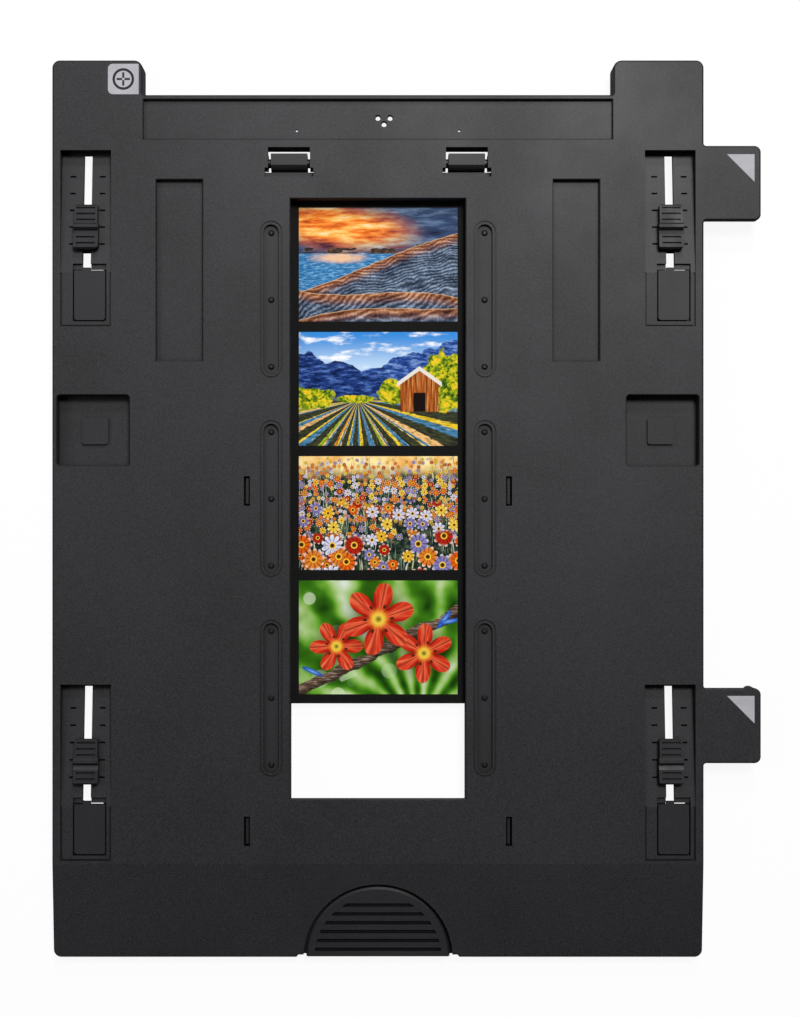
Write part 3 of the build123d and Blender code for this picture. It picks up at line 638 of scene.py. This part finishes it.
def flower_layer(art, colour, scale, count, low, high, empty):
    own, (hue, turn, chance) = art.strewn(scale)
    radius, angle = art.polar(own)
    angle = art.scaled(turn, FULL_TURN, angle)
    mask, swing = art.petals(radius, angle, count, soft=0.07, slim=0.45)
    fold = art.folds(radius, angle, 6.0, 2.2)
    petal = art.ramp(hue, PETAL_COLOURS, steps=True)
    petal = art.mix(art.fade(fold, 0.5, 0.34, 0.0, 0.6), petal, (60, 16, 8))
    petal = art.mix(art.fade(swing, 0.45, 0.1, 0.0, 0.75), petal, (30, 12, 10))
    petal = art.mix(art.fade(radius, 0.72, 0.95, 0.0, 0.7), petal, (250, 246, 236))
    heart = art.ramp(radius, [(0.0, (28, 14, 8)), (0.16, (96, 50, 16)), (0.24, (250, 206, 70))])
    petal = art.mix(art.fade(radius, 0.32, 0.27), petal, heart)
    band = art.wobble(art.v, 6.0, 0.16)
    near = art.times(art.fade(band, high, high - 0.06), art.fade(band, low - 0.06, low))
    here = art.times(art.math("GREATER_THAN", chance, empty), near)
    shadow = art.times(art.fade(radius, 1.3, 0.6, 0.0, 0.65), here)
    colour = art.mix(shadow, colour, (6, 8, 10))
    return art.mix(art.times(mask, here), colour, petal)


def evening_meadow(index):
    art = Garden("picture_meadow", index)
    colour = grass(art)
    for layer in LAYERS:
        colour = flower_layer(art, colour, *layer)
    return art.done(colour)


film.data.materials.append(evening_meadow(1))
print("meadow painted with", len(LAYERS), "layers of flowers")

# %% [markdown]
# ## Third picture: fields below blue hills
# The sky fades from pale to deep blue behind stretched clouds, and two ridges stand before it.
# The rows of a planted field meet at one point on the horizon. The angle round that point counts
# the rows and the inverse of the height below the horizon gives the distance, so clumps drawn in
# those two coordinates shrink correctly.

# %% Sky, hills and field
HORIZON = 0.4
VANISHING_U = 0.52
RIDGES = ((0.3, 0.52, 0.7, ((10, 22, 56), (40, 78, 156), (150, 180, 226))),
          (-0.26, 0.82, -0.7, ((6, 12, 30), (26, 52, 116), (96, 132, 200))))


def sky_and_hills(art):
    """Sky, clouds and ridges, each with a slant, a height, a turn of its streaks and tints."""
    clouds = art.streaks(1.6, 5, 2.0, 5.0, 0.6, turn=0.1)
    colour = art.ramp(art.fade(art.v, 0.6, 1.0), [(0.0, (196, 222, 244)), (1.0, (52, 136, 214))])
    colour = art.mix(art.fade(clouds, 0.5, 0.66), colour, (246, 248, 252))
    for slant, height, turn, tints in RIDGES:
        rock = art.streaks(4, 15, 2.2, 8.0, 0.68, turn=turn)
        slope = art.ramp(rock, list(zip((0.34, 0.5, 0.68), tints)))
        ridge = art.wobble(art.scaled(art.u, slant, height), 3.4, 0.34, 8.0)
        colour = art.mix(art.fade(art.minus(ridge, art.v), 0.0, 0.01), colour, slope)
    return colour


def planted_field(art, colour):
    """Rows of crops, with bare earth between them, that run to the vanishing point."""
    below = art.minus(HORIZON, art.v)
    aside = art.minus(art.u, VANISHING_U)
    angle = art.math("ARCTAN2", aside, art.math("MAXIMUM", below, 0.001))
    depth = art.math("MAXIMUM", art.math("ADD", below, 0.03), 0.02)
    depth = art.math("DIVIDE", 0.4, depth)
    ground = art.joined(art.times(angle, 34.0), art.times(depth, 9.0))
    clumps = art.noise(ground, 1.0, 4.0, 0.65)
    kinds = art.noise(art.mapping(ground, scale=(0.1, 0, 0)), 1.0, 1.0)
    crop = art.ramp(kinds, [(0.0, (226, 130, 40)), (0.4, (236, 200, 40)), (0.47, (70, 128, 168)),
                            (0.54, (240, 190, 120)), (0.61, (150, 176, 36))], steps=True)
    crop = art.mix(art.fade(clumps, 0.52, 0.36, 0.0, 0.85), crop, (28, 40, 12))
    crop = art.mix(art.fade(clumps, 0.56, 0.7, 0.0, 0.6), crop, (255, 244, 206))
    rows = art.math("SINE", art.times(angle, 26.0))
    earth = art.ramp(clumps, [(0.35, (18, 22, 20)), (0.62, (70, 74, 50))])
    field = art.mix(art.fade(art.scaled(clumps, 1.3, rows), 0.45, 0.8), earth, crop)
    return art.mix(art.fade(below, 0.0, 0.006), colour, field)


print(len(RIDGES), "ridges above the field")

# %% [markdown]
# Yellow trees and a wooden barn stand beside the field. A tree is a ragged blob, and its leaves
# are small cells with a random tint. The barn's wall is stretched noise cut into planks, and its
# outline is the height of the eaves, which falls off on both sides of the ridge.

# %% Trees and barn
TREES = ((1.3, 0.56, 0.2, 0.26, 0.1), (0.82, 0.47, 0.12, 0.11), (0.08, 0.42, 0.26, 0.09),
         (0.5, 0.41, 0.18, 0.035))
BARN_U = 1.06
BARN_RIDGE = 0.68
BARN_PITCH = -0.72


def yellow_trees(art, colour):
    tint, _, _ = art.split(art.cells(art.warp(12.0, 0.05), 52.0).outputs["Color"])
    lit = art.noise(art.spot, 12.0, 5.0, 0.65)
    shade = art.scaled(lit, 1.5, art.scaled(tint, 0.3, -0.42))
    leaves = art.ramp(shade, [(0.12, (14, 30, 10)), (0.34, (70, 108, 20)), (0.52, (170, 178, 26)),
                              (0.7, (240, 204, 40)), (0.88, (250, 166, 44))])
    for place in TREES:
        clump, _ = art.blob(*place, soft=0.05, scale=11.0, ragged=0.9)
        colour = art.mix(clump, colour, leaves)
    return colour


def barn(art, colour):
    grain = art.streaks(60, 3, 1.4, 5.0, 0.6)
    wall = art.ramp(grain, [(0.32, (70, 28, 8)), (0.5, (172, 84, 28)), (0.7, (236, 168, 96))])
    planks = art.arches(art.times(art.u, 70.0))
    wall = art.mix(art.fade(planks, 0.22, 0.05), wall, (30, 12, 6))
    off = art.apart(art.u, BARN_U)
    eaves = art.scaled(off, BARN_PITCH, BARN_RIDGE)
    inside = art.times(art.fade(off, 0.172, 0.166), art.fade(art.v, 0.296, 0.302))
    body = art.times(inside, art.fade(art.minus(eaves, art.v), 0.0, 0.006))
    colour = art.mix(body, colour, wall)
    band = art.fade(art.apart(art.v, eaves), 0.022, 0.017)
    roof = art.times(band, art.fade(off, 0.2, 0.194))
    colour = art.mix(roof, colour, (226, 222, 214))
    door = art.times(art.fade(off, 0.056, 0.051), art.fade(art.v, 0.47, 0.462))
    return art.mix(art.times(door, body), colour, (24, 14, 12))


def fields_and_hills(index):
    art = Picture("picture_fields", index)
    colour = planted_field(art, sky_and_hills(art))
    return art.done(barn(art, yellow_trees(art, colour)))


film.data.materials.append(fields_and_hills(2))
print("fields painted with", len(TREES), "clumps of trees")

# %% [markdown]
# ## Fourth picture: dunes at dusk
# Cloud bands in navy and fire make the sky, over flat dark hills and a thin lake. The hills' tops
# are flat because their height snaps to steps.

# %% Sky, lake and hills
def dusk_and_lake(art):
    bands = art.streaks(1.3, 6, 1.9, 8.0, 0.62, turn=-0.14)
    colour = art.ramp(bands, [(0.3, (18, 26, 50)), (0.5, (50, 70, 106)), (0.66, (116, 138, 166))])
    fire = art.ramp(bands, [(0.34, (110, 38, 28)), (0.45, (236, 116, 34)), (0.56, (255, 190, 92)),
                            (0.68, (255, 240, 210))])
    near, _ = art.blob(0.3, 0.84, 0.6, 0.17, -0.1, soft=0.5, scale=3.0, ragged=0.5)
    colour = art.mix(near, colour, fire)
    ripples = art.streaks(7, 30, 2.2, 6.0, 0.7)
    lake = art.ramp(ripples, [(0.3, (24, 62, 102)), (0.5, (54, 122, 176)), (0.68, (150, 196, 226))])
    colour = art.mix(art.fade(art.v, 0.602, 0.598), colour, lake)
    shine, _ = art.blob(0.36, 0.56, 0.2, 0.04, soft=0.6, scale=12.0, ragged=0.8)
    return art.mix(art.times(shine, 0.8), colour, (255, 200, 146))


def flat_hills(art, colour):
    crag = art.streaks(5, 16, 2.4, 8.0, 0.72)
    rock = art.ramp(crag, [(0.34, (10, 8, 10)), (0.5, (60, 46, 40)), (0.66, (142, 106, 80))])
    mesa = art.wobble(art.scaled(art.u, 0.04, 0.63), 4.2, 0.34, 1.0)
    mesa = art.wobble(art.math("SNAP", mesa, 0.036), 30.0, 0.03)
    over = art.fade(art.minus(mesa, art.v), 0.0, 0.008)
    return art.mix(art.times(over, art.fade(art.v, 0.594, 0.6)), colour, rock)


print("sky, lake and hills ready")

# %% [markdown]
# The sand is in wind ripples: waves on bent coordinates, light blue-grey on the crests and dark
# in the troughs, finer the farther away. Each dune is a curve with a lit side and a shaded side,
# given by its slant, its height, how fast and how far its crest swings, and its ripples.

# %% Dunes
DUNES = ((0.3, 0.52, 2.6, 0.05, 74.0), (-0.12, 0.47, 3.1, 0.06, 46.0), (0.2, 0.12, 2.2, 0.1, 27.0))


def dune(art, colour, slant, height, swing, lift, ripples):
    curve = art.math("SINE", art.scaled(art.u, swing, height * 9))
    crest = art.scaled(curve, lift, art.scaled(art.u, slant, height))
    crest = art.minus(crest, 0.16 * (1 + slant))
    under = art.minus(art.wobble(crest, 7.0, 0.03), art.v)
    bent = art.mapping(art.warp(2.6, 0.26), turn=1.1 + slant)
    lines = art.waves(bent, ripples / 6.3, 3.4, 4.0)
    sparkle = art.noise(art.spot, 44.0, 8.0, 0.8)
    hollow = art.streaks(2.4, 6, 2.0, 4.0, 0.6, turn=0.4)
    sand = art.scaled(sparkle, 0.75, art.times(lines, 0.2))
    sand = art.scaled(art.minus(hollow, 0.5), 0.7, sand)
    cool = art.ramp(sand, [(0.26, (12, 16, 26)), (0.46, (62, 76, 98)), (0.62, (126, 142, 164)),
                           (0.8, (202, 210, 222))])
    warm = art.ramp(sand, [(0.26, (46, 24, 18)), (0.5, (146, 88, 58)), (0.76, (238, 186, 142))])
    sand = art.mix(art.fade(under, 0.12, 0.02), cool, warm)
    sand = art.mix(art.fade(under, 0.012, 0.0, 0.0, 0.8), sand, (255, 214, 160))
    return art.mix(art.fade(under, 0.0, 0.006), colour, sand)


def dunes_at_dusk(index):
    art = Picture("picture_dunes", index)
    colour = flat_hills(art, dusk_and_lake(art))
    for shape in DUNES:
        colour = dune(art, colour, *shape)
    return art.done(colour)


film.data.materials.append(dunes_at_dusk(3))
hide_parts("film_strip")
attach(film, "frame")
print("film has", len(film.data.materials), "materials")

# %% [markdown]
# ## Printed label and index triangles
# The label is a stick-on square with two rounded corners. The two triangles are pad-printed in the
# same light grey on the index tabs. All are very thin closed plates, which keeps their edges sharp
# from any distance, where a mask in a material would need a fine texture once it is baked.

# %% Thin plates
def plate(name, outline, low, high, material, body="frame"):
    """Closed plate between two heights from a counter-clockwise outline of (x, y)."""
    mesh = bmesh.new()
    under = [mesh.verts.new((x, y, low)) for x, y in outline]
    over = [mesh.verts.new((x, y, high)) for x, y in outline]
    mesh.faces.new(reversed(under))
    mesh.faces.new(over)
    count = len(outline)
    for index in range(count):
        after = (index + 1) % count
        mesh.faces.new((under[index], under[after], over[after], over[index]))
    data = bpy.data.meshes.new(name)
    mesh.to_mesh(data)
    mesh.free()
    data.materials.append(material)
    thing = placed(name, data)
    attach(thing, body)
    print(name, len(data.polygons), "faces")
    return thing


# %% [markdown]
# Screen ink is nearly flat, with the weave of the screen just visible. One recipe makes the
# label's grey, its dark ink and the black paint in the marks.

# %% Printing inks
INK = 0.02 * MM


def printed_grey(name, shade, shine=0.1):
    paint = Painter(name, shine=shine)
    screen = paint.noise(paint.place, 2600.0, detail=2.0)
    cloud = paint.noise(paint.place, 200.0, detail=2.0)
    tone = paint.scaled(screen, 0.5, paint.times(cloud, 0.5))
    colour = paint.mottled(shade, tone, 0.35, 0.65, dark=0.96, light=1.035)
    gloss = paint.fade(cloud, 0.3, 0.7, 0.5, 0.42)
    return paint.finish(colour, gloss, paint.bump(screen, 0.08, 0.01 * MM))


label_grey = printed_grey("label_grey", (170, 170, 175))
label_ink = printed_grey("label_ink", (52, 52, 56))
mark_ink = printed_grey("mark_ink", (5, 5, 6), shine=0.0)
print("inks", INK / MM, "mm thick")

# %% Index triangles on the tabs
frame_low, frame_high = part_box("main_frame")
TRIANGLE = 9.5 * MM
TRIANGLE_INSET = 2.3 * MM
TRIANGLE_TOPS = {"rear": 32.5 * MM, "front": 219.3 * MM}
for row, from_rear in TRIANGLE_TOPS.items():
    right = frame_high.x - TRIANGLE_INSET
    upper = frame_high.y - from_rear
    corner = [(right, upper), (right - TRIANGLE, upper), (right, upper - TRIANGLE)]
    mark = plate(f"index_triangle_{row}", corner, frame_high.z - INK, frame_high.z + INK,
                 label_grey)
print("triangles", TRIANGLE / MM, "mm on a side")

# %% Label plate
label_low, label_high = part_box("label_pad")
LABEL_CORNER = 1.7 * MM
CORNER_STEPS = 8


def label_outline():
    """Square with its two left corners rounded, counter-clockwise."""
    points = [(label_high.x, label_low.y), (label_high.x, label_high.y)]
    for centre_y, start in ((label_high.y - LABEL_CORNER, 90), (label_low.y + LABEL_CORNER, 180)):
        for step in range(CORNER_STEPS + 1):
            angle = math.radians(start + step * 90 / CORNER_STEPS)
            points.append((label_low.x + LABEL_CORNER + LABEL_CORNER * math.cos(angle),
                           centre_y + LABEL_CORNER * math.sin(angle)))
    return points


label = plate("label", label_outline(), label_low.z, label_high.z - 2 * INK, label_grey)
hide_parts("label_pad")

# %% [markdown]
# ## Growing what repeats
# Rows and rings of small bars are grown by Geometry Nodes, so a count or a pitch is written once.
# Each tree begins with named inputs and ends in Realize Instances, because the export drops
# instances, and in Set Material. A modifier on an empty mesh runs the tree, its inputs are set by
# the sockets' identifiers, and the evaluated mesh is copied out so that no modifier is left.

# %% Trees with named inputs
def new_tree(name, inputs):
    """Tree with the named inputs; also its first node, and its inputs' identifiers."""
    tree = bpy.data.node_groups.new(name, "GeometryNodeTree")
    socket = tree.interface.new_socket
    identifiers = {}
    for key, kind in {**inputs, "Ink": "Material"}.items():
        made = socket(name=key, in_out="INPUT", socket_type="NodeSocket" + kind)
        identifiers[key] = made.identifier
    socket(name="Geometry", in_out="OUTPUT", socket_type="NodeSocketGeometry")
    return tree, tree.nodes.new("NodeGroupInput"), identifiers


def end_tree(tree, start, shapes, links):
    """Adds the last three nodes, which make the shapes real and inked, and every link."""
    real = tree.nodes.new("GeometryNodeRealizeInstances")
    ink = tree.nodes.new("GeometryNodeSetMaterial")
    end = tree.nodes.new("NodeGroupOutput")
    last = [(*shapes, real, "Geometry"), (real, "Geometry", ink, "Geometry"),
            (start, "Ink", ink, "Material"), (ink, "Geometry", end, "Geometry")]
    for giver, output, taker, entry in links + last:
        tree.links.new(giver.outputs[output], taker.inputs[entry])


def grown(name, tree, identifiers, body, **values):
    """Plain mesh grown by a tree from its named inputs."""
    seed = placed(name + "_seed", bpy.data.meshes.new(name + "_seed"))
    modifier = seed.modifiers.new("grow", "NODES")
    modifier.node_group = tree
    for key, value in values.items():
        modifier[identifiers[key.replace("_", " ")]] = value
    depsgraph = bpy.context.evaluated_depsgraph_get()
    data = bpy.data.meshes.new_from_object(seed.evaluated_get(depsgraph))
    bpy.data.objects.remove(seed)
    thing = placed(name, data)
    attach(thing, body)
    print(name, len(data.polygons), "faces")
    return thing


# %% [markdown]
# ## The label's mark
# The label carries a plain registration mark: a ring with a cross of short bars, which only says
# which corner is which. The bars are one small plate repeated round a circle: a mesh circle gives
# the points, each point carries the plate, and the plate turns with the circle.

# %% Tree that sets bars round a circle
def bars_round_tree():
    """A count of flat bars on a circle, each pointing outwards."""
    tree, start, identifiers = new_tree("bars_round", {
        "Count": "Int", "Radius": "Float", "Bar size": "Vector", "Centre": "Vector"})
    add = tree.nodes.new
    circle = add("GeometryNodeMeshCircle")
    bar = add("GeometryNodeMeshCube")
    bars = add("GeometryNodeInstanceOnPoints")
    outwards = add("GeometryNodeInputPosition")
    turn = add("FunctionNodeAlignRotationToVector")
    turn.axis = "X"
    move = add("GeometryNodeTransform")
    end_tree(tree, start, (move, "Geometry"), [
        (start, "Count", circle, "Vertices"), (start, "Radius", circle, "Radius"),
        (start, "Bar size", bar, "Size"), (circle, "Mesh", bars, "Points"),
        (bar, "Mesh", bars, "Instance"), (outwards, "Position", turn, "Vector"),
        (turn, "Rotation", bars, "Rotation"), (bars, "Instances", move, "Geometry"),
        (start, "Centre", move, "Translation")])
    return tree, identifiers


bars_round, round_inputs = bars_round_tree()

# %% Ring and cross
RING_RADIUS = 3.3 * MM
RING_BAR = (0.85 * MM, 0.54 * MM, INK)
RING_BARS, CROSS_BARS = 48, 4
CROSS_RADIUS = 1.35 * MM
CROSS_BAR = (1.9 * MM, 0.75 * MM, INK)
label_middle = ((label_low.x + label_high.x) / 2, (label_low.y + label_high.y) / 2,
                label_high.z - INK - INK / 2)
ring = grown("label_ring", bars_round, round_inputs, "frame", Count=RING_BARS,
             Radius=RING_RADIUS, Bar_size=RING_BAR, Centre=label_middle, Ink=label_ink)
cross = grown("label_cross", bars_round, round_inputs, "frame", Count=CROSS_BARS,
              Radius=CROSS_RADIUS, Bar_size=CROSS_BAR, Centre=label_middle, Ink=label_ink)

# %% [markdown]
# ## Paint in the height marks
# Five marks stand on each side of every slider, one for each half millimetre of film height. They
# are grooves in the ramp, filled with black paint. One line of points places the five marks, and
# a second line of two points repeats them on the far side of the slot. The ramp rises from mark
# to mark.

# %% Tree that repeats a bar in a column and the column in pairs
def paired_bars_tree():
    """Bars along a line, and the same line once more beside it."""
    tree, start, identifiers = new_tree("paired_bars", {
        "Count": "Int", "First": "Vector", "Step": "Vector", "Beside": "Vector",
        "Bar size": "Vector"})
    add = tree.nodes.new
    column = add("GeometryNodeMeshLine")
    pair = add("GeometryNodeMeshLine")
    pair.inputs["Count"].default_value = 2
    bar = add("GeometryNodeMeshCube")
    bars = add("GeometryNodeInstanceOnPoints")
    columns = add("GeometryNodeInstanceOnPoints")
    end_tree(tree, start, (columns, "Instances"), [
        (start, "Count", column, "Count"), (start, "First", column, "Start Location"),
        (start, "Step", column, "Offset"), (start, "Beside", pair, "Offset"),
        (start, "Bar size", bar, "Size"), (column, "Mesh", bars, "Points"),
        (bar, "Mesh", bars, "Instance"), (pair, "Mesh", columns, "Points"),
        (bars, "Instances", columns, "Instance")])
    return tree, identifiers


paired_bars, pair_inputs = paired_bars_tree()

# %% Marks beside the four troughs
MARKS = 5
MARK_STEP = (0, -5.92 * MM, 0.5 * MM)
MARK_LENGTH, MARK_WIDTH, PAINT_DEPTH = 2.04 * MM, 0.59 * MM, 0.35 * MM
FIRST_MARK_FROM_REAR = 8.5 * MM
FIRST_FLOOR = 3.596 * MM
BESIDE = 10.25 * MM
SLOT_OFFSET = 0.2 * MM
TROUGHS_X = 100.8 * MM
TROUGH_REARS = {"rear": 31.05 * MM, "front": 215.4 * MM}
TAB_REACH = 19.75 * MM
body_x = (frame_low.x + frame_high.x - TAB_REACH) / 2
for row, from_rear in TROUGH_REARS.items():
    for side, sign in (("left", -1), ("right", 1)):
        first = (body_x + sign * TROUGHS_X + SLOT_OFFSET - BESIDE / 2,
                 frame_high.y - from_rear - FIRST_MARK_FROM_REAR,
                 frame_high.z - FIRST_FLOOR + PAINT_DEPTH / 2)
        marks = grown(f"height_marks_{row}_{side}", paired_bars, pair_inputs, "frame",
                      Count=MARKS, First=first, Step=MARK_STEP, Beside=(BESIDE, 0, 0),
                      Bar_size=(MARK_LENGTH, MARK_WIDTH, PAINT_DEPTH), Ink=mark_ink)

# %% [markdown]
# ## Table
# The carrier lies on a plain white table. Seen by the camera the table glows a little, so that it
# reads as clean white, but it still takes the carrier's soft shadow. To the light that bounces
# about it is a dull grey and doesn't glow, so it lights nothing from below. A Light Path node
# tells the two apart.

# %% Table
TABLE = 3.0
TABLE_GAP = 0.2 * MM
DULL, BRIGHT = (0.2, 0.2, 0.2, 1), (0.9, 0.9, 0.9, 1)
GLOW_SHARE = 0.92
bpy.ops.mesh.primitive_plane_add(size=TABLE, location=(0, 0, -TABLE_GAP))
table = bpy.context.object
table.name = "table"
paint = Painter("table_white")
rays = paint.add("ShaderNodeLightPath")
paint.finish(paint.mix(rays.outputs["Is Camera Ray"], DULL, BRIGHT), 0.9)
glow = paint.add("ShaderNodeEmission")
glow.inputs["Strength"].default_value = 1.0
seen = paint.math("MAXIMUM", rays.outputs["Is Camera Ray"], rays.outputs["Is Transmission Ray"])
blend = paint.put("ShaderNodeMixShader", paint.times(seen, GLOW_SHARE),
                  paint.shader.outputs[0], glow.outputs[0])
paint.feed(paint.nodes["Material Output"].inputs["Surface"], blend[0])
table.data.materials.append(paint.material)
print("table", TABLE, "m square")

# %% [markdown]
# ## Lamps
# The key lamp stands high over the horned end and to the right, so the matte plastic is brightest
# there and darkens towards the front slope, which tilts away from it. A second, lower lamp behind
# draws the edges of the recesses, and a weak one fills from the left. All are square area lamps,
# because a broad source gives soft shadows.

# %% Lamps
def lamp(name, place, size, power):
    """Square soft lamp aimed at the carrier."""
    data = bpy.data.lights.new(name, "AREA")
    data.shape = "SQUARE"
    data.size = size
    data.energy = power
    thing = placed(name, data)
    thing.location = place
    thing.rotation_euler = (-Vector(place)).to_track_quat("-Z", "Y").to_euler()
    print(name, power, "W")


lamp("key", (0.28, 0.7, 1.3), 0.4, 18.0)
lamp("rear", (0.15, 1.4, 1.0), 0.2, 10.0)
lamp("left", (-0.5, 0.08, 0.4), 0.3, 0.7)

# %% [markdown]
# ## World
# The dim grey world keeps the walls of the window and the troughs from going black. The camera
# itself sees it as white, through a Light Path node again, so the background is clean.

# %% World and colours
DIM, WHITE = (0.055, 0.055, 0.056, 1), (1, 1, 1, 1)
world = bpy.data.worlds.new("studio")
world.use_nodes = True
nodes, links = world.node_tree.nodes, world.node_tree.links
rays = nodes.new("ShaderNodeLightPath")
seen = nodes.new("ShaderNodeMix")
seen.data_type = "RGBA"
seen.inputs[MIX_UNDER].default_value = DIM
seen.inputs[MIX_OVER].default_value = WHITE
links.new(rays.outputs["Is Camera Ray"], seen.inputs[0])
links.new(seen.outputs[MIX_RESULT], nodes["Background"].inputs["Color"])
bpy.context.scene.world = world
bpy.context.scene.view_settings.view_transform = "Standard"
print("world", DIM[0], "to the carrier and white to the camera")

# %% [markdown]
# ## Camera
# The camera looks straight down on the frame's body through a 50 mm lens, from about half a metre,
# so the outer walls of the window and the troughs just show. The tabs make the part wider on the
# right, so the lens is shifted, which moves the view without showing more of any wall.

# %% Camera
LENS = 50.0
SENSOR = 36.0
VIEW_STEPS = 1017
STEPS_PER_MM = 2.9
SHIFT_STEPS = 22.05
CAMERA_Y = 0.45 * MM
view_height = VIEW_STEPS / STEPS_PER_MM * MM
distance = LENS * view_height / SENSOR
data = bpy.data.cameras.new("camera")
data.lens = LENS
data.sensor_width = SENSOR
data.shift_x = SHIFT_STEPS / VIEW_STEPS
camera = placed("camera", data)
camera.location = (body_x, CAMERA_Y, frame_high.z + distance)
bpy.context.scene.camera = camera
print("camera", round(distance / MM), "mm above the top face")
